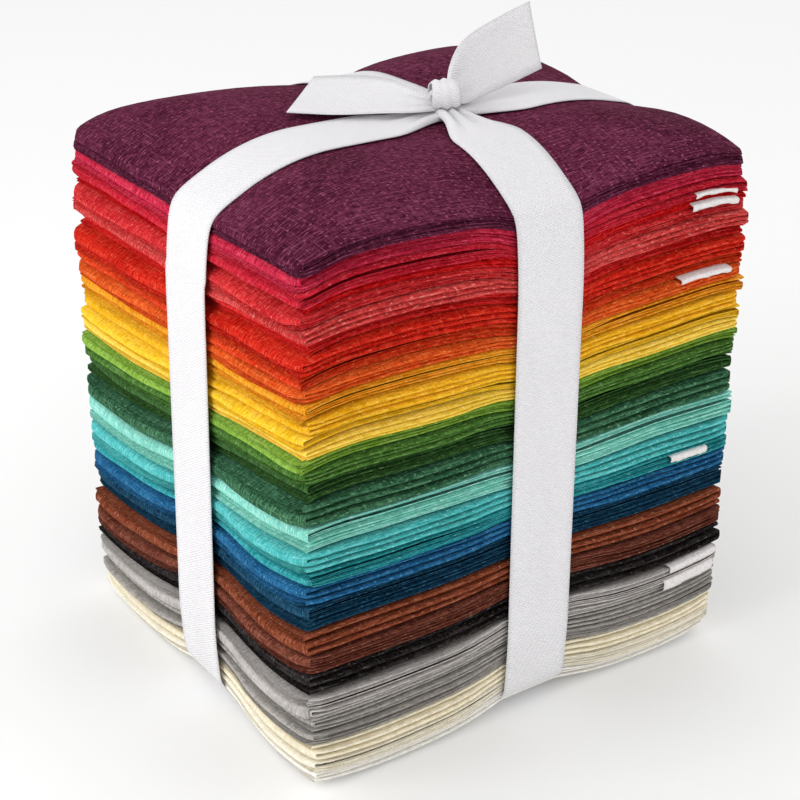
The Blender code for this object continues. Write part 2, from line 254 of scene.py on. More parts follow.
# The ribbon's loose ends: rows of their two side points, with heights over the stack, and how far
# they cup
TAILS = (
    ("tail_left", (
        ((4.5, -12.5, 3.2), (6.5, -8.5, 5.4)),
        ((-2.0, -12.0, 3.6), (3.0, -1.0, 6.6)),
        ((-12.0, -7.0, 3.4), (2.0, 10.0, 7.4)),
        ((-24.0, 1.0, 3.0), (-3.0, 21.5, 6.6)),
        ((-35.0, 10.0, 3.2), (-11.5, 32.5, 5.0)),
    ), 0.5),
    ("tail_right", (
        ((12.5, -11.5, 3.0), (11.5, -8.0, 6.5)),
        ((17.5, -10.5, 2.4), (14.5, -5.0, 13.0)),
        ((26.0, -9.5, 3.6), (22.0, -1.5, 19.5)),
        ((36.5, -9.0, 5.6), (35.5, 0.0, 24.0)),
        ((47.5, -8.5, 8.0), (49.5, 1.5, 27.0)),
    ), -0.8),
)

# The knot's lump and the band round it: sizes, the band's turn from above, and its flat size in metres
LUMP_SIZE = (10.0, 8.0, 6.2)
LUMP_DOWN = 0.6
BAND_TURN = math.radians(-25)
BAND_HALF = 4.4
BAND_REACH = 5.2
BAND_HEIGHT = 4.6

# Where the tails, the lump and the band start on the ribbon's flat length, so that no two share a place
TAIL_FLAT_FROM = 2000.0
LUMP_FLAT_FROM = 3000.0
BAND_FLAT_FROM = 4000.0

# Noise in the cotton's print: blotches a metre across and along, shift and detail
COTTON_NOISE = {
    "cloud": (30.0, 36.0, 0.0, 3.0),
    "fine_across": (300.0, 1800.0, 3.1, 2.0),
    "fine_along": (2200.0, 350.0, 7.7, 2.0),
    "long_across": (60.0, 2200.0, 11.3, 1.0),
    "long_along": (2200.0, 60.0, 17.9, 1.0),
    "specks": (620.0, 1900.0, 23.9, 0.0),
}

# Layers of the print over its base: noise, whether its low places count instead of its high ones,
# limit, softness, strength and tone
COTTON_LAYERS = (
    ("cloud", False, 0.5, 0.2, 0.6, "middle"),
    ("cloud", True, 0.56, 0.1, 0.35, "dark"),
    ("fine_across", True, 0.56, 0.05, 0.7, "dark"),
    ("fine_along", True, 0.58, 0.05, 0.45, "dark"),
    ("fine_across", False, 0.61, 0.04, 0.2, "light"),
    ("fine_along", False, 0.62, 0.04, 0.17, "light"),
    ("long_across", False, 0.69, 0.03, 0.4, "light"),
    ("long_along", False, 0.71, 0.03, 0.32, "light"),
    ("specks", False, 0.76, 0.02, 0.8, "light"),
)

# How dark the dark threads are, more so on a dark base, and the share of light in the middle tone
DARK_SHARE = 0.42
DARK_SHARE_MORE = 0.40
LUMINANCE = (0.21, 0.72, 0.07)
LIGHT_IN_MIDDLE = 0.2

# The ribbon's ribs and its edge, in metres, the tone of the painted shade in the grooves between its ribs,
# and the tone of its shade
RIB_PITCH = 0.0009
RIB_SLANT = 0.6
EDGE_FROM = 0.0119
RIB_GROOVE_SHADE = 0.82
SHADE_TONE = 0.93

# Sockets of a Mix node that blends colours, by number, because it has others with the same names
MIX_MASK = 0
MIX_FIRST = 6
MIX_SECOND = 7
MIX_RESULT = 2

# The lights: name, place, size and power, and the point that they face; the light all round
LIGHTS = (
    ("key", (-0.85, 0.05, 0.55), 0.6, 3.5),
    ("front", (0.35, -0.95, 0.30), 0.8, 1.0),
)
LIGHTS_FACE = (0.0, 0.0, 0.09)
WORLD_STRENGTH = 0.92
TABLE_HALF = 3.0
SENSOR_WIDTH = 36.0
NEAREST_SEEN = 0.01


class BundleCloth(bpy.types.PropertyGroup):
    """Sizes of the cut, and how unevenly it is folded."""

    cut_width: FloatProperty(
        name="Cut width", description="The cut's 18 inch side, folded in thirds",
        default=0.457, unit="LENGTH",
    )
    cut_length: FloatProperty(
        name="Cut length", description="The cut's 22 inch side, folded in quarters",
        default=0.559, unit="LENGTH",
    )
    unevenness: FloatProperty(
        name="Unevenness", description="How far folds and edges wander, in millimetres",
        default=0.9, min=0.0,
    )


class BundleRibbon(bpy.types.PropertyGroup):
    """The ribbon's width, thickness and colour."""

    width: FloatProperty(
        name="Width", description="Width of the ribbon", default=2 * RIBBON_HALF * MM, unit="LENGTH",
    )
    thickness: FloatProperty(
        name="Thickness", description="Thickness of the woven ribbon", default=0.00035, unit="LENGTH",
    )
    colour: FloatVectorProperty(
        name="Colour", description="Colour of the ribbon", default=(0.90, 0.885, 0.905), subtype="COLOR",
    )


class BundleStage(bpy.types.PropertyGroup):
    """The table, the light and the camera."""

    lens: FloatProperty(name="Lens", description="Focal length of the camera", default=82.57, min=1.0)
    turn: FloatProperty(
        name="Turn", description="The camera's way round the bundle", default=math.radians(-33.88),
        subtype="ANGLE",
    )
    rise: FloatProperty(
        name="Rise", description="The camera's height angle", default=math.radians(26.14),
        subtype="ANGLE",
    )
    place: FloatVectorProperty(
        name="Place", description="Where the camera stands", default=(-0.3042, -0.4522, 0.3494),
        subtype="TRANSLATION",
    )
    floor: FloatVectorProperty(
        name="Floor", description="Colour of the table", default=(0.96, 0.96, 0.96), subtype="COLOR",
    )


class Shade:
    """A node's output that can be used in sums, in the node tree that it belongs to."""

    def __init__(self, tree, socket):
        self.tree = tree
        self.socket = socket

    @classmethod
    def node(cls, tree, kind, settings, sockets, output=0):
        """Any node: its settings are made first, then the values or links of its sockets."""
        made = tree.nodes.new(kind)
        for name, value in settings.items():
            setattr(made, name, value)
        for place, value in sockets.items():
            connect(tree, made.inputs[place], value)
        return cls(tree, made.outputs[output])

    def maths(self, operation, *others):
        sockets = dict(enumerate((self, *others)))
        return Shade.node(self.tree, "ShaderNodeMath", {"operation": operation}, sockets)

    def __add__(self, other):
        return self.maths("ADD", other)

    __radd__ = __add__

    def __mul__(self, other):
        return self.maths("MULTIPLY", other)

    __rmul__ = __mul__

    def __sub__(self, other):
        return self.maths("SUBTRACT", other)

    def __rsub__(self, other):
        return (self * -1.0) + other

    def above(self, limit, softness):
        """A mask that rises from 0 to 1 where this passes the limit."""
        settings = {"interpolation_type": "SMOOTHSTEP"}
        sockets = {"Value": self, "From Min": limit - softness, "From Max": limit + softness}
        return Shade.node(self.tree, "ShaderNodeMapRange", settings, sockets)


def connect(tree, socket, value):
    """Links a shade to a socket, or sets a plain value on it."""
    if isinstance(value, Shade):
        tree.links.new(value.socket, socket)
    else:
        socket.default_value = value


def blend_colours(mask, first, second):
    """The first colour, going over to the second where the mask rises."""
    first, second = [(*value, 1.0) if isinstance(value, tuple) else value for value in (first, second)]
    sockets = {MIX_MASK: mask, MIX_FIRST: first, MIX_SECOND: second}
    return Shade.node(mask.tree, "ShaderNodeMix", {"data_type": "RGBA"}, sockets, MIX_RESULT)


def stretched_noise(flat, across, along, shift, detail):
    """Noise on the cloth's flat sizes, with a count of blotches a metre each way."""
    moves = {0: flat, 1: (across, along, 1.0), 2: (shift, shift * 0.7, shift * 0.3)}
    moved = Shade.node(flat.tree, "ShaderNodeVectorMath", {"operation": "MULTIPLY_ADD"}, moves)
    sockets = {"Vector": moved, "Scale": 1.0, "Detail": detail}
    return Shade.node(flat.tree, "ShaderNodeTexNoise", {"noise_dimensions": "2D"}, sockets)


def new_material(name, roughness):
    """A material, its shader and the flat places of the cloth."""
    made = bpy.data.materials.new(name)
    made.use_nodes = True
    shader = made.node_tree.nodes["Principled BSDF"]
    shader.inputs["Roughness"].default_value = roughness
    return made, shader, Shade.node(made.node_tree, "ShaderNodeUVMap", {"uv_map": "flat"}, {})


def cover(shader, tone, relief, strength, distance):
    """Gives a shader its colour and a relief in metres."""
    sockets = {"Strength": strength, "Distance": distance, "Height": relief}
    bump = Shade.node(tone.tree, "ShaderNodeBump", {}, sockets)
    connect(tone.tree, shader.inputs["Base Color"], tone)
    connect(tone.tree, shader.inputs["Normal"], bump)


def cotton(name, base, light, shift):
    """Quilting cotton printed with a woven look of fine light and dark threads both ways."""
    made, shader, flat = new_material(name, 0.9)
    depth = DARK_SHARE + DARK_SHARE_MORE * sum(a * b for a, b in zip(LUMINANCE, base))
    tones = {
        "dark": tuple(part * depth for part in base),
        "middle": tuple((1.0 - LIGHT_IN_MIDDLE) * a + LIGHT_IN_MIDDLE * b for a, b in zip(base, light)),
        "light": light,
    }
    noises = {}
    for kind, (across, along, more, detail) in COTTON_NOISE.items():
        noises[kind] = stretched_noise(flat, across, along, shift + more, detail)
    tone = base
    for kind, low, limit, softness, strength, tint in COTTON_LAYERS:
        noise = 1.0 - noises[kind] if low else noises[kind]
        tone = blend_colours(noise.above(limit, softness) * strength, tone, tones[tint])
    cover(shader, tone, noises["fine_across"] * 0.6 + noises["fine_along"] * 0.4, 0.7, 0.0005)
    shader.inputs["Specular IOR Level"].default_value = 0.03
    return made


def selvedge_white():
    """The bare white edge of the cloth."""
    made, shader, flat = new_material("selvedge_white", 0.85)
    threads = stretched_noise(flat, 700.0, 2200.0, 4.0, 2.0)
    tone = blend_colours(threads.above(0.55, 0.2) * 0.6, (0.80, 0.77, 0.76), (0.55, 0.50, 0.50))
    cover(shader, tone, threads, 0.3, 0.0002)
    return made


def woven_ribbon(colour):
    """White ribbon with fine ribs across it, painted shade in the grooves between them, and a soft shine.
    """
    made, shader, flat = new_material("woven_ribbon", 0.7)
    across, along = [Shade.node(flat.tree, "ShaderNodeSeparateXYZ", {}, {0: flat}, part) for part in (0, 1)]
    ribs = ((along + across * RIB_SLANT) * (2 * math.pi / RIB_PITCH)).maths("SINE") * 0.5 + 0.5
    threads = stretched_noise(flat, 900.0, 2600.0, 2.0, 2.0)
    cloud = stretched_noise(flat, 60.0, 30.0, 5.0, 2.0)
    edge = (across - RIBBON_HALF * MM).maths("ABSOLUTE").above(EDGE_FROM, 0.0002)
    shade = tuple(part * SHADE_TONE for part in colour)
    tone = blend_colours(cloud.above(0.5, 0.25) * 0.5, colour, shade)
    tone = blend_colours(threads.above(0.55, 0.2) * 0.35, tone, shade)
    tone = blend_colours(edge * 0.5, tone, shade)
    # Painted shade: the grooves between the ribs are darkened in the colour, on top of the ribs' relief
    tone = blend_colours(ribs * 0.3, tone, tuple(part * RIB_GROOVE_SHADE for part in colour))
    cover(shader, tone, ribs * 0.7 + threads * 0.8 + edge * 0.4, 0.7, 0.0005)
    shader.inputs["Specular IOR Level"].default_value = 0.15
    shader.inputs["Sheen Weight"].default_value = 0.1
    return made


def edge_share(inside, reach):
    """1 on the stack's rim, falling to 0 at a reach inside it."""
    return np.clip(1.0 - inside / reach, 0.0, 1.25) ** 2


def pressed(off_line):
    """1 under the ribbon, fading beside it."""
    return np.exp(-np.maximum(np.abs(off_line) - GROOVE_HALF, 0.0) / GROOVE_FADE)


def slant(along, knot, shift, half):
    """How far the ribbon's line leans to the knot, on the top of the stack."""
    return shift * np.clip(1.0 - np.abs(along - knot) / half, 0.0, 1.0)


def line_x(y):
    """Middle of the front-to-back ribbon on top, at each y."""
    return RIBBON_X + slant(y, KNOT_Y, KNOT_X - RIBBON_X, LEAN_ALONG_Y)


def line_y(x):
    """Middle of the left-to-right ribbon on top, at each x."""
    lean = LEFT_LEAN * np.clip((KNOT_X - x) / (KNOT_X + HALF_WIDTH), 0.0, 1.0)
    return RIBBON_Y + slant(x, KNOT_X, KNOT_Y - RIBBON_Y, LEAN_ALONG_X) + lean


def top_height(x, y):
    """The top of the stack: a plateau that droops at its rims and under the ribbon."""
    side = edge_share(HALF_WIDTH - np.abs(x), TOP_REACH_X)
    end = edge_share(HALF_DEPTH - np.abs(y), TOP_REACH_Y)
    front_to_back = pressed(x - line_x(y)) * (GROOVE + GROOVE_AT_ENDS * end)
    left_to_right = pressed(y - line_y(x)) * (GROOVE + GROOVE_AT_SIDES * side)
    droop = np.where(x < 0, LEFT_DROOP, RIGHT_DROOP + CORNER_DROOP * end) * side
    groove = np.hypot(front_to_back, left_to_right)
    return TOP_LEVEL - np.cbrt(droop ** 3 + (END_DROOP * end) ** 3) - groove


def under_height(x, y):
    """The underside: lobes flat on the table, lifted at the rims, the corners and the ribbon."""
    side = edge_share(HALF_WIDTH - np.abs(x), UNDER_REACH_X)
    end = edge_share(HALF_DEPTH - np.abs(y), UNDER_REACH_Y)
    front_to_back = pressed(x - RIBBON_X) * (UNDER_GROOVE + UNDER_GROOVE_AT_ENDS * end)
    left_to_right = pressed(y - RIBBON_Y) * (UNDER_GROOVE + UNDER_GROOVE_AT_SIDES * side)
    lift = END_LIFT * end + SIDE_LIFT * side + CORNER_LIFT * side * end
    return lift + np.hypot(front_to_back, left_to_right)


def waver(x, y, level):
    """Slow waves that all layers share, none at the top and the table."""
    total = 0.0
    for size, in_x, in_y, in_level, phase in WAVES:
        total = total + size * np.sin(in_x * x + in_y * y + phase) * np.sin(in_level * level + 2 * phase)
    return total * np.sin(math.pi * np.clip(level, 0.0, 1.0))


def height(level, x, y):
    """Height of a level from 0, the underside, to 1, the top."""
    low = under_height(x, y)
    tilt = MIDDLE_TILT * np.sin(math.pi * np.clip(level, 0.0, 1.0) ** 0.7) * y / HALF_DEPTH
    return low + level * (top_height(x, y) - low) - tilt + waver(x, y, level)


def bulge(level):
    """How far the middle of the stack stands out past its top and its foot, as a scale."""
    upper = np.clip((1.0 - level) / SWELL_FROM_TOP, 0.0, 1.0)
    lower = SWELL_AT_FOOT + (1.0 - SWELL_AT_FOOT) * np.clip(level / SWELL_FROM_FOOT, 0.0, 1.0)
    return 1.0 + MIDDLE_SWELL * upper * (2.0 - upper) * lower


def wander(rng, along, size, longest):
    """A wavering offset along a fold or an edge."""
    total = np.zeros_like(along)
    for number in range(1, 5):
        turns = 2 * math.pi * number / longest * rng.uniform(0.8, 1.2)
        total += np.sin(along * turns + rng.uniform(0, 2 * math.pi)) * rng.uniform(0.4, 1.0) / number
    return total * size * 0.6


def spread(cells):
    """Shares from 0 to 1, closer near both ends."""
    even = np.linspace(0.0, 1.0, cells + 1)
    return 0.4 * even + 0.6 * (1.0 - np.cos(math.pi * even)) / 2.0


def held_in(place, limit):
    """A place pressed back to a limit, where layers still lie one outside the other."""
    beyond = np.maximum(np.abs(place) - limit, 0.0)
    return np.sign(place) * (np.abs(place) - PRESSED_BACK * beyond)


def round_corners(x, y, radius):
    """Draws the four upright corners of a piece in to a round."""
    past_x = np.maximum(np.abs(x) - (HALF_WIDTH + CORNER_PAST_X - radius), 0.0)
    past_y = np.maximum(np.abs(y) - (HALF_DEPTH + CORNER_PAST_Y - radius), 0.0)
    far = np.maximum(np.hypot(past_x, past_y), radius)
    pull = CORNER_PULL * (far - radius) / far
    return x - np.sign(x) * past_x * pull, y - np.sign(y) * past_y * pull


def quarter_stations(depth):
    """Stations along the 22 inches: the two ends they lie between, share, reach out, height, flat place.

    The four panels lie at levels 0, 3, 2 and 1 of the packet. The ends are numbered 0 the first cut
    edge, 1 the outer doubled fold, 2 the single fold, 3 the inner doubled fold and 4 the last cut edge.
    """
    levels = (0, 3, 2, 1)
    rows = [(0, 0, 0.0, 0.0, (levels[0] + 0.5) * LAYER - COTTON_THICK, -COTTON_THICK)]
    flat = 0.0
    for panel, level in enumerate(levels):
        rise = (level + 0.5) * LAYER
        for share in spread(PANEL_CELLS):
            rows.append((panel, panel + 1, share, 0.0, rise, flat + share * depth))
        flat += depth
        if panel == len(levels) - 1:
            break
        after = (levels[panel + 1] + 0.5) * LAYER
        middle = (rise + after) / 2
        radius = (after - rise) / 2
        round_it = math.pi * abs(radius)
        for number in range(1, FOLD_CELLS):
            share = number / FOLD_CELLS
            out = abs(radius) * math.sin(math.pi * share) * FOLD_OUT
            lift = middle - radius * math.cos(math.pi * share)
            rows.append((panel + 1, panel + 1, 0.0, out, lift, flat + share * round_it))
        flat += round_it
    rows.append((4, 4, 0.0, 0.0, (levels[3] + 0.5) * LAYER - COTTON_THICK, flat + COTTON_THICK))
    return rows


def third_stations(width):
    """Stations along the 18 inches: number of the pass, share of it, angle round its turn, flat place."""
    rows = []
    round_it = math.pi * LAYERS * LAYER * 0.9
    flat = 0.0
    for number in range(PASSES):
        for share in spread(PASS_CELLS):
            rows.append((number, share, None, flat + share * width))
        flat += width
        if number < PASSES - 1:
            for cell in range(1, TURN_CELLS):
                share = cell / TURN_CELLS
                rows.append((number, 1.0, math.pi * share, flat + share * round_it))
            flat += round_it
    return rows


def taper(shares, length):
    """How round the folds still are at places along a panel, less in the corners."""
    inside = np.array([0.0 if share is None else min(share, 1.0 - share) * length for share in shares])
    return 1.0 - CORNER_TAPER * np.clip(1.0 - inside / CORNER_REACH, 0.0, 1.0)


def folded_cloth(number, left, right, front, back, side, shows, low, high, unevenness):
    """Points and flat places of one folded piece, as a grid of rows and columns."""
    rng = np.random.default_rng(100 + number)
    depth, width = 2 * HALF_DEPTH, 2 * HALF_WIDTH
    quarters = quarter_stations(depth)
    thirds = third_stations(width)
    flat_x = np.array([row[3] for row in thirds])
    flat_y = np.array([row[5] for row in quarters])

    # Heights of the packet's three passes on each other, and of the two turns that join them
    packet = LAYERS * LAYER
    turn_heights = (packet + PACKET_GAP / 2, 2 * packet + 1.5 * PACKET_GAP)
    whole = PASSES * (packet + PACKET_GAP)
    rise = np.array([row[4] for row in quarters])
    passes = (rise, 2 * turn_heights[0] - rise, 2 * turn_heights[1] - 2 * turn_heights[0] + rise)

    # Each pass of the packet slipped a little against the next one
    slips = [np.repeat(rng.uniform(-PASS_SLIP, PASS_SLIP, PASSES), 2) for _ in range(2)]
    near_slip, far_slip = [np.interp(flat_x, np.array(SLIP_KNEES) * width, slip) for slip in slips]

    # Where the ends of the panels lie in y, each along the whole 18 inches
    doubled, cut = (front, back) if shows > 0 else (back, front)
    edge_wander = unevenness * 1.3
    ends = [
        -(HALF_DEPTH + cut - 0.4) + near_slip + wander(rng, flat_x, edge_wander, 480),
        HALF_DEPTH + doubled - 1.6 * LAYER + far_slip + wander(rng, flat_x, unevenness, 420),
        -(HALF_DEPTH + cut - 0.5 * LAYER) + near_slip + wander(rng, flat_x, unevenness, 420),
        None,
        -(HALF_DEPTH + cut - 1.0) + near_slip + wander(rng, flat_x, edge_wander, 480),
    ]
    ends[3] = ends[1] - 1.3 * LAYER
    column_taper = taper([row[1] if row[2] is None else None for row in thirds], width)
    row_taper = taper([row[2] if row[0] != row[1] else None for row in quarters], depth)
    y = np.zeros((len(quarters), len(thirds)))
    for index, (first, second, share, out, _, _) in enumerate(quarters):
        y[index] = ends[first] * (1 - share) + ends[second] * share
        y[index] += out * (1.0 if first % 2 else -1.0) * column_taper
    if shows > 0:
        y = -y

    # Where the turns and the free ends of the packet lie in x
    start = -(HALF_WIDTH + (left if side > 0 else right))
    end = HALF_WIDTH + (right if side > 0 else left)
    nose = turn_heights[0] * TURN_ROUND
    fold_wander = unevenness * 0.7
    turns = [
        start + 1.0 + wander(rng, flat_y, unevenness, 300)[:, None],
        end - nose + wander(rng, y, fold_wander, 150),
        start + nose + wander(rng, y, fold_wander, 150),
        end - 0.8 + wander(rng, flat_y, unevenness, 300)[:, None],
    ]
    turns = [np.broadcast_to(turn, y.shape) for turn in turns]
    x = np.zeros_like(y)
    z = np.zeros_like(y)
    for column, (pass_number, share, angle, _) in enumerate(thirds):
        here, after = turns[pass_number][:, column], turns[pass_number + 1][:, column]
        if angle is None:
            x[:, column] = here * (1 - share) + after * share
            z[:, column] = passes[pass_number]
            continue
        axis = turn_heights[pass_number]
        radius = axis - passes[pass_number]
        way = 1.0 if pass_number == 0 else -1.0
        x[:, column] = after + way * radius * TURN_ROUND * math.sin(angle) * row_taper
        z[:, column] = axis - radius * math.cos(angle)
    if side < 0:
        x = -x

    # The ribbon holds back what would stand out under it, and the corners spread a little
    for_y = np.clip((np.abs(x - RIBBON_X) - RIBBON_HALF - 1.0) / 20.0, 0.0, 1.0)
    for_x = np.clip((np.abs(y - RIBBON_Y) - RIBBON_HALF - 3.0) / 20.0, 0.0, 1.0)
    y = held_in(y * (1.0 + 0.014 * for_y), Y_LIMIT + Y_FREE * for_y)
    x = held_in(x * (1.0 + np.where(x > 0, 0.004, 0.010) * for_x), X_LIMIT + X_FREE * for_x)
    x, y = round_corners(x, y, rng.uniform(*CORNER_RADIUS))

    level = low + (high - low) * (FREE_SHARE + (1.0 - 2 * FREE_SHARE) * z / whole)
    points = np.stack([x * bulge(level), y * bulge(level), height(level, x, y)], axis=2)
    flat = np.stack(np.broadcast_arrays(flat_x[None, :], flat_y[:, None]), axis=2)
    return points, flat


def quads(index):
    """The four corners of each face between neighbours in a grid of numbers."""
    return np.stack([index[:-1, :-1], index[:-1, 1:], index[1:, 1:], index[1:, :-1]], axis=2)


def grid_mesh(name, points, flat, closed=False):
    """A mesh in metres from a grid of points in millimetres, with its flat places as a UV map."""
    rows, columns = points.shape[:2]
    index = np.arange(rows * columns).reshape(rows, columns)
    if closed:
        index = np.vstack([index, index[:1]])
        flat = np.vstack([flat, flat[-1:] + (flat[-1:] - flat[-2:-1])])
    faces = quads(index).reshape(-1, 4)
    mesh = bpy.data.meshes.new(name)
    mesh.vertices.add(rows * columns)
    mesh.vertices.foreach_set("co", (points.reshape(-1, 3) * MM).astype(np.float32).ravel())
    mesh.loops.add(faces.size)
    mesh.loops.foreach_set("vertex_index", faces.ravel().astype(np.int32))
    mesh.polygons.add(len(faces))
    mesh.polygons.foreach_set("loop_start", np.arange(0, faces.size, 4, dtype=np.int32))
    layer = mesh.uv_layers.new(name="flat")
    wanted = quads(np.arange(flat.shape[0] * columns).reshape(flat.shape[0], columns)).ravel()
    layer.data.foreach_set("uv", (flat.reshape(-1, 2)[wanted] * MM).astype(np.float32).ravel())
    mesh.update(calc_edges=True)
    mesh.validate()
    mesh.polygons.foreach_set("use_smooth", np.ones(len(mesh.polygons), dtype=bool))
    return mesh


def add_piece(name, mesh, material, node):
    """A piece in its finish that stands for one node of the solid model."""
    piece = bpy.data.objects.new(name, mesh)
    mesh.materials.append(material)
    bpy.context.scene.collection.objects.link(piece)
    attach(piece, "root")
    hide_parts(node)
    return piece


def thicken(piece, thickness):
    """Gives a sheet its thickness."""
    thick = piece.modifiers.new("Thickness", "SOLIDIFY")
    thick.thickness = thickness
    thick.offset = 0.0


def quarter_node(number):
    """The name in the solid model of the fat quarter with this number from the bottom."""
    return f"fat_quarter_{number:02d}_{PIECES[number - 1][0]}"


def ribbon_finish(ribbon):
    """The ribbon's one finish, made when it is first asked for."""
    return bpy.data.materials.get("woven_ribbon") or woven_ribbon(tuple(ribbon.colour))


def ribbon_loop(at_x, over):
    """The middle line of the ribbon once round: place along and height, corner by corner."""
    half = HALF_WIDTH if at_x else HALF_DEPTH
    line = RIBBON_Y if at_x else RIBBON_X

    def top(place):
        return top_height(place, line_y(place)) if at_x else top_height(line_x(place), place)

    def under(place):
        across = np.full_like(place, line)
        return under_height(place, across) if at_x else under_height(across, place)

    along_top = np.linspace(-(half - 0.4), half - 0.4, 61)
    near_rim = np.clip((np.abs(along_top) - half + RIM_REACH) / RIM_REACH, 0.0, 1.0)
    lies_up = RIBBON_OVER_TOP + RIBBON_OVER_RIMS * near_rim
    top_line = np.stack([along_top, top(along_top) + lies_up], axis=1)
    along_under = np.linspace(half - 2.0, -(half - 2.0), 61)
    under_rise = under(along_under) - (INNER_RUN_UNDER if over else OUTER_RUN_UNDER)
    under_line = np.stack([along_under, np.maximum(under_rise, RIBBON_OVER_TABLE)], axis=1)
    faces = []
    for sign in (1.0, -1.0):
        rim = float(top(np.array([sign * half]))[0])
        foot = float(under(np.array([sign * half]))[0])
        face = np.linspace(rim - ROUND_BELOW_RIM, foot + ROUND_ABOVE_FOOT, 60)
        swell = bulge((face - foot) / (rim - foot))
        outside = (half + RIBBON_OFF_FACE) * swell + RIBBON_OFF_FACE
        faces.append(np.stack([sign * outside, face], axis=1)[:: int(sign)])
    right, left = faces
    return np.vstack([top_line, right, under_line, left])


def evenly(line, count):
    """A closed line again with points evenly apart, and its length."""
    closed = np.vstack([line, line[:1]])
    steps = np.linalg.norm(np.diff(closed, axis=0), axis=1)
    along = np.concatenate([[0.0], np.cumsum(steps)])
    wanted = np.linspace(0.0, along[-1], count, endpoint=False)
    return np.stack([np.interp(wanted, along, closed[:, k]) for k in range(2)], axis=1), along[-1]


def ribbon_band(at_x, over, width):
    """The ribbon once round the stack as a grid of points, gathered where it enters the knot."""
    line, length = evenly(ribbon_loop(at_x, over), LOOP_POINTS)
    for _ in range(3):
        line = (np.roll(line, 1, axis=0) + line * 2 + np.roll(line, -1, axis=0)) / 4
    centre = RIBBON_Y if at_x else RIBBON_X
    knot = KNOT_X if at_x else KNOT_Y
    half = HALF_WIDTH if at_x else HALF_DEPTH
    across = np.linspace(-1.0, 1.0, RIBBON_CELLS + 1)[None, :]
    place, rise = line[:, :1], line[:, 1:]
    on_top = rise > RIBBON_TOP_FROM

    # Narrower near the knot, and drawn to the knot's place
    gather = np.where(on_top, np.clip((np.abs(place - knot) - GATHER_FROM) / GATHER_OVER, 0.0, 1.0), 1.0)
    gather = gather * gather * (3 - 2 * gather)
    reach = width / 2 * RIBBON_SEEN * (GATHERED_SHARE + (1.0 - GATHERED_SHARE) * gather)
    middle = line_y(place) if at_x else line_x(place)
    shift = middle - centre
    if at_x:
        down = np.clip((LEAN_DOWN_FROM - rise) / LEAN_DOWN_FROM, 0.0, 1.0)
        shift += np.where((place < 0) & ~on_top, LEFT_LEAN_DOWN * down, 0.0)
    side = centre + shift + across * reach

    # Its sides follow the cloth on top, and its pleats stand up by the knot
    along = np.broadcast_to(place, side.shape)
    z = np.broadcast_to(rise, side.shape).copy()
    inside = np.clip((half + 0.5 - np.abs(along)) / 5.0, 0.0, 1.0)
    middle = np.broadcast_to(middle, side.shape)
    if at_x:
        lies = top_height(along, side) - top_height(along, middle)
    else:
        lies = top_height(side, along) - top_height(middle, along)
    z += np.where(on_top, lies * inside, 0.0)
    pleat = np.cos(across * math.pi * 3.0) * PLEAT_HEIGHT * (1.0 - gather)
    lift = (1.0 - gather) * (LIFT_OVER if over else LIFT_UNDER)
    z += np.where(on_top, pleat + lift, 0.0)
    points = np.stack([along, side, z] if at_x else [side, along, z], axis=2)
    flat_along = np.arange(LOOP_POINTS)[:, None] * length / LOOP_POINTS
    flat = np.stack(np.broadcast_arrays((across + 1) * width / 2, flat_along), axis=2)
    return points, flat, length


def tail_grid(rows, width, cup_size):
    """A loose end through rows of two side points, its flat places and its length.

    The last row is cut on a slant, so it may be longer than the ribbon is wide.
    """
    count = 28
    smooth = np.zeros((count, 2, 3))
    for index, place in enumerate(np.linspace(0.0, len(rows) - 1.0, count)):
        number = min(int(place), len(rows) - 2)
        t = place - number
        before, here = rows[max(number - 1, 0)], rows[number]
        after, later = rows[number + 1], rows[min(number + 2, len(rows) - 1)]
        smooth[index] = 0.5 * (
            2 * here + (after - before) * t + (2 * before - 5 * here + 4 * after - later) * t * t
            + (3 * here - before - 3 * after + later) * t ** 3
        )
    across = np.linspace(0.0, 1.0, 9)
    points = smooth[:, :1] * (1 - across[None, :, None]) + smooth[:, 1:] * across[None, :, None]
    middle = smooth.mean(axis=1)
    steps = np.concatenate([[0.0], np.cumsum(np.linalg.norm(np.diff(middle, axis=0), axis=1))])
    pinch = np.clip(1.0 - steps / 16.0, 0.0, 1.0)
    normal = np.cross(np.gradient(points, axis=0), np.gradient(points, axis=1))
    normal /= np.linalg.norm(normal, axis=2)[:, :, None]
    curl = np.cos(across * math.pi * 5.0)[None, :] * pinch[:, None] * 0.8
    cup = (1.0 - (2 * across - 1) ** 2)[None, :] * (0.9 + 0.6 * np.sin(steps / 9.0))[:, None]
    points = points + normal * (curl + cup * cup_size)[:, :, None]
    flat = np.stack(np.broadcast_arrays(across[None, :] * width, steps[:, None] + TAIL_FLAT_FROM), axis=2)
    return points, flat, steps[-1]


def knot_grid(centre, size):
    """The gathered lump of the knot."""
    around = np.linspace(0.0, 2 * math.pi, 49)[:-1]
    up = np.linspace(0.02, math.pi - 0.02, 25)
    theta, phi = np.meshgrid(up, around, indexing="xy")
    pleats = 1.0 + 0.07 * np.sin(7 * phi + 1.5 * np.cos(theta)) * np.sin(theta)
    x = np.cos(theta) * (1.0 + 0.06 * np.sin(5 * phi))
    y = np.sin(theta) * np.cos(phi) * pleats
    z = np.sin(theta) * np.sin(phi) * pleats
    points = np.stack([x * size[0] / 2, y * size[1] / 2, z * size[2] / 2], axis=2) + centre
    flat = np.stack([phi * 8.0, theta * 8.0 + LUMP_FLAT_FROM], axis=2)
    return points, flat


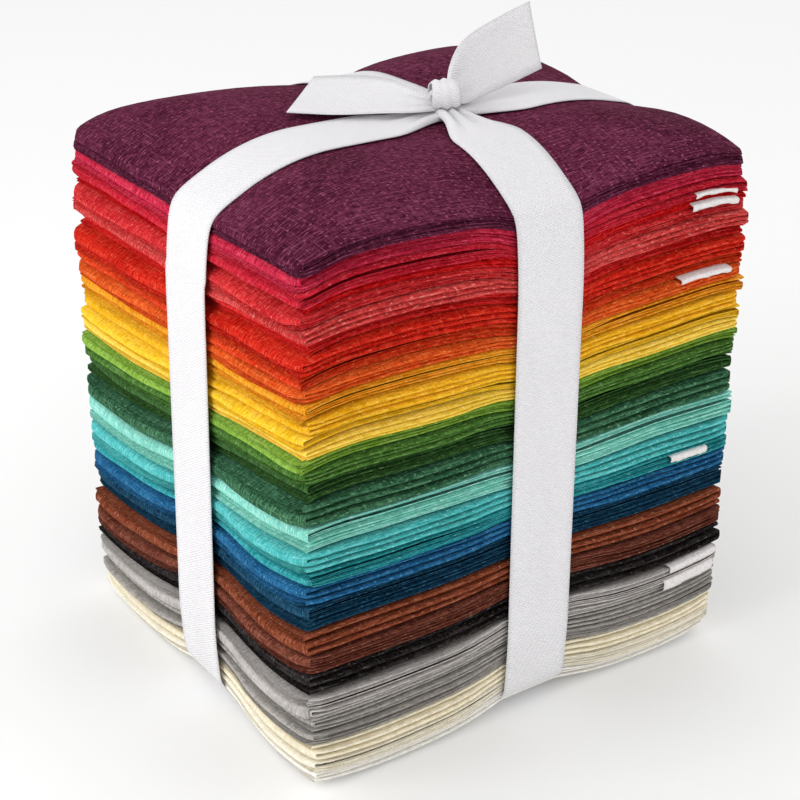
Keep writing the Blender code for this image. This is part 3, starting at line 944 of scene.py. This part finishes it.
def band_grid(centre):
    """The band of ribbon that wraps the middle of the knot, pleated along its way."""
    angle = np.linspace(-2.3, 2.3, 41)
    across = np.linspace(-1.0, 1.0, 13)
    a, s = np.meshgrid(angle, across, indexing="ij")
    swell = 1.0 - 0.16 * s ** 2 + 0.05 * np.cos(s * math.pi * 3.0) + 0.03 * np.sin(s * 7.0 + a * 2.0)
    local_x = s * BAND_HALF * (0.86 + 0.14 * np.abs(np.sin(a)))
    local_y = np.sin(a) * BAND_REACH * swell
    local_z = np.cos(a) * BAND_HEIGHT * swell
    x = local_x * math.cos(BAND_TURN) - local_y * math.sin(BAND_TURN)
    y = local_x * math.sin(BAND_TURN) + local_y * math.cos(BAND_TURN)
    points = np.stack([x, y, local_z], axis=2) + centre
    flat = np.stack([(s + 1) * BAND_HALF, a * BAND_REACH + BAND_FLAT_FROM], axis=2)
    return points, flat


class BUNDLE_OT_fold(bpy.types.Operator):
    """Fold every fat quarter and stack them from the bottom up"""

    bl_idname = "bundle.fold"
    bl_label = "Fold the fat quarters"

    def execute(self, context):
        cloth = context.scene.bundle_cloth
        whole = sum(row[1] for row in PIECES)
        done = 0
        for number, row in enumerate(PIECES, 1):
            colour_name, share, left, right, front, back, side, shows, base, light = row
            low, high = done / whole, (done + share) / whole
            done += share
            points, flat = folded_cloth(
                number, left, right, front, back, side, shows, low, high, cloth.unevenness
            )
            name = f"cloth_{number:02d}_{colour_name}"
            slot = f"cotton_{colour_name}"
            finish = cotton(slot, base, light, number * 5.3)
            piece = add_piece(name, grid_mesh(name, points, flat), finish, quarter_node(number))
        return {"FINISHED"}


class BUNDLE_OT_selvedges(bpy.types.Operator):
    """Let bits of the white selvedge show on the front near its right end"""

    bl_idname = "bundle.selvedges"
    bl_label = "Show the selvedges"

    def execute(self, context):
        finish = selvedge_white()
        whole = sum(row[1] for row in PIECES)
        down = np.array(SELVEDGE_DOWN)[:, None]
        inside = np.array(SELVEDGE_INSIDE)[:, None]
        for number, level, start, end, tall in SELVEDGES:
            name, node = f"selvedge_{number:02d}_{round(start)}", quarter_node(number)
            across = np.linspace(start, end, 25)
            rng = np.random.default_rng(number * 7 + round(start))
            below = sum(row[1] for row in PIECES[: number - 1])
            here = (below + level * PIECES[number - 1][1]) / whole
            # It comes out from between two layers, turns down and hangs in front of them
            front = -(HALF_DEPTH + SELVEDGE_OUT) + wander(rng, across, 0.35, 30)
            y = (front + inside) * bulge(here) - SELVEDGE_CURL
            x = np.broadcast_to(across * bulge(here), y.shape)
            fray = wander(rng, across, 0.3, 9) * (down > 0.9)
            z = height(here, x, np.maximum(y, front)) - tall * (down - 0.5) + fray
            points = np.stack([x, y, z], axis=2)
            flat = np.stack(np.broadcast_arrays(across[None, :], down * tall - inside), axis=2)
            piece = add_piece(name, grid_mesh(name, points, flat), finish, node)
            thicken(piece, COTTON_THICK * MM)
        return {"FINISHED"}


class BUNDLE_OT_wrap(bpy.types.Operator):
    """Wrap the ribbon round the stack both ways"""

    bl_idname = "bundle.wrap"
    bl_label = "Wrap the ribbon"

    def execute(self, context):
        ribbon = context.scene.bundle_ribbon
        finish = ribbon_finish(ribbon)
        for name, at_x, over in (("left_to_right", True, False), ("front_to_back", False, True)):
            points, flat, length = ribbon_band(at_x, over, ribbon.width / MM)
            mesh = grid_mesh(f"band_{name}", points, flat, closed=True)
            piece = add_piece(f"band_{name}", mesh, finish, f"ribbon_{name}")
            thicken(piece, ribbon.thickness)
        return {"FINISHED"}


class BUNDLE_OT_tie(bpy.types.Operator):
    """Tie the knot on top and leave its two ends"""

    bl_idname = "bundle.tie"
    bl_label = "Tie the knot"

    def execute(self, context):
        ribbon = context.scene.bundle_ribbon
        finish = ribbon_finish(ribbon)
        low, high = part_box("ribbon_knot")
        middle = float(low[2] + high[2]) / 2 / MM
        centre = np.array((KNOT_X, KNOT_Y, middle - LUMP_DOWN))
        mesh = grid_mesh("knot_lump", *knot_grid(centre, LUMP_SIZE), closed=True)
        lump = add_piece("knot_lump", mesh, finish, "ribbon_knot")
        mesh = grid_mesh("knot_band", *band_grid(centre))
        band = add_piece("knot_band", mesh, finish, "ribbon_knot")
        thicken(band, ribbon.thickness)
        base = float(top_height(np.array(KNOT_X), np.array(KNOT_Y)))
        for name, rows, cup_size in TAILS:
            points, flat, length = tail_grid(np.array(rows) + (0.0, 0.0, base), ribbon.width / MM, cup_size)
            mesh = grid_mesh(name, points, flat)
            piece = add_piece(name, mesh, finish, f"ribbon_{name}")
            thicken(piece, ribbon.thickness)
            length * MM
        return {"FINISHED"}


class BUNDLE_OT_stage(bpy.types.Operator):
    """Set the table, the light and the camera"""

    bl_idname = "bundle.stage"
    bl_label = "Set the stage"

    def execute(self, context):
        scene, stage = context.scene, context.scene.bundle_stage
        floor = bpy.data.meshes.new("table")
        corners = [(x * TABLE_HALF, y * TABLE_HALF, 0) for x, y in ((-1, -1), (1, -1), (1, 1), (-1, 1))]
        floor.from_pydata(corners, [], [(0, 1, 2, 3)])
        table = bpy.data.objects.new("table", floor)
        paint = bpy.data.materials.new("table_paint")
        paint.use_nodes = True
        shader = paint.node_tree.nodes["Principled BSDF"]
        shader.inputs["Base Color"].default_value = (*stage.floor, 1)
        shader.inputs["Roughness"].default_value = 0.9
        floor.materials.append(paint)
        scene.collection.objects.link(table)

        world = bpy.data.worlds.new("studio")
        scene.world = world
        world.use_nodes = True
        background = world.node_tree.nodes["Background"]
        background.inputs["Color"].default_value = (1, 1, 1, 1)
        background.inputs["Strength"].default_value = WORLD_STRENGTH
        scene.view_settings.view_transform = "Standard"

        for name, place, size, power in LIGHTS:
            light = bpy.data.lights.new(name, "AREA")
            light.size = size
            light.energy = power
            lamp = bpy.data.objects.new(name, light)
            lamp.location = place
            aim = Vector(LIGHTS_FACE) - Vector(place)
            lamp.rotation_euler = aim.to_track_quat("-Z", "Y").to_euler()
            scene.collection.objects.link(lamp)

        data = bpy.data.cameras.new("camera")
        data.lens = stage.lens
        data.sensor_width = SENSOR_WIDTH
        data.clip_start = NEAREST_SEEN
        camera = bpy.data.objects.new("camera", data)
        level = math.cos(stage.rise)
        back = Vector((math.sin(stage.turn) * level, -math.cos(stage.turn) * level, math.sin(stage.rise)))
        camera.location = stage.place
        camera.rotation_euler = (-back).to_track_quat("-Z", "Y").to_euler()
        scene.collection.objects.link(camera)
        scene.camera = camera
        return {"FINISHED"}


class BUNDLE_PT_panel(bpy.types.Panel):
    """The bundle's steps and sizes"""

    bl_label = "Bundle"
    bl_idname = "BUNDLE_PT_panel"
    bl_space_type = "VIEW_3D"
    bl_region_type = "UI"
    bl_category = "Bundle"

    def draw(self, context):
        layout = self.layout
        for step in STEPS:
            layout.operator(step.bl_idname)
        for group in (context.scene.bundle_cloth, context.scene.bundle_ribbon, context.scene.bundle_stage):
            for name in group.__annotations__:
                layout.prop(group, name)


STEPS = (BUNDLE_OT_fold, BUNDLE_OT_selvedges, BUNDLE_OT_wrap, BUNDLE_OT_tie, BUNDLE_OT_stage)
CLASSES = (BundleCloth, BundleRibbon, BundleStage, *STEPS, BUNDLE_PT_panel)


def register():
    for kind in CLASSES:
        bpy.utils.register_class(kind)
    bpy.types.Scene.bundle_cloth = PointerProperty(type=BundleCloth)
    bpy.types.Scene.bundle_ribbon = PointerProperty(type=BundleRibbon)
    bpy.types.Scene.bundle_stage = PointerProperty(type=BundleStage)


def unregister():
    del bpy.types.Scene.bundle_stage
    del bpy.types.Scene.bundle_ribbon
    del bpy.types.Scene.bundle_cloth
    for kind in reversed(CLASSES):
        bpy.utils.unregister_class(kind)


def main():
    register()
    bpy.ops.bundle.fold()
    bpy.ops.bundle.selvedges()
    bpy.ops.bundle.wrap()
    bpy.ops.bundle.tie()
    bpy.ops.bundle.stage()


if __name__ == "__main__":
    main()
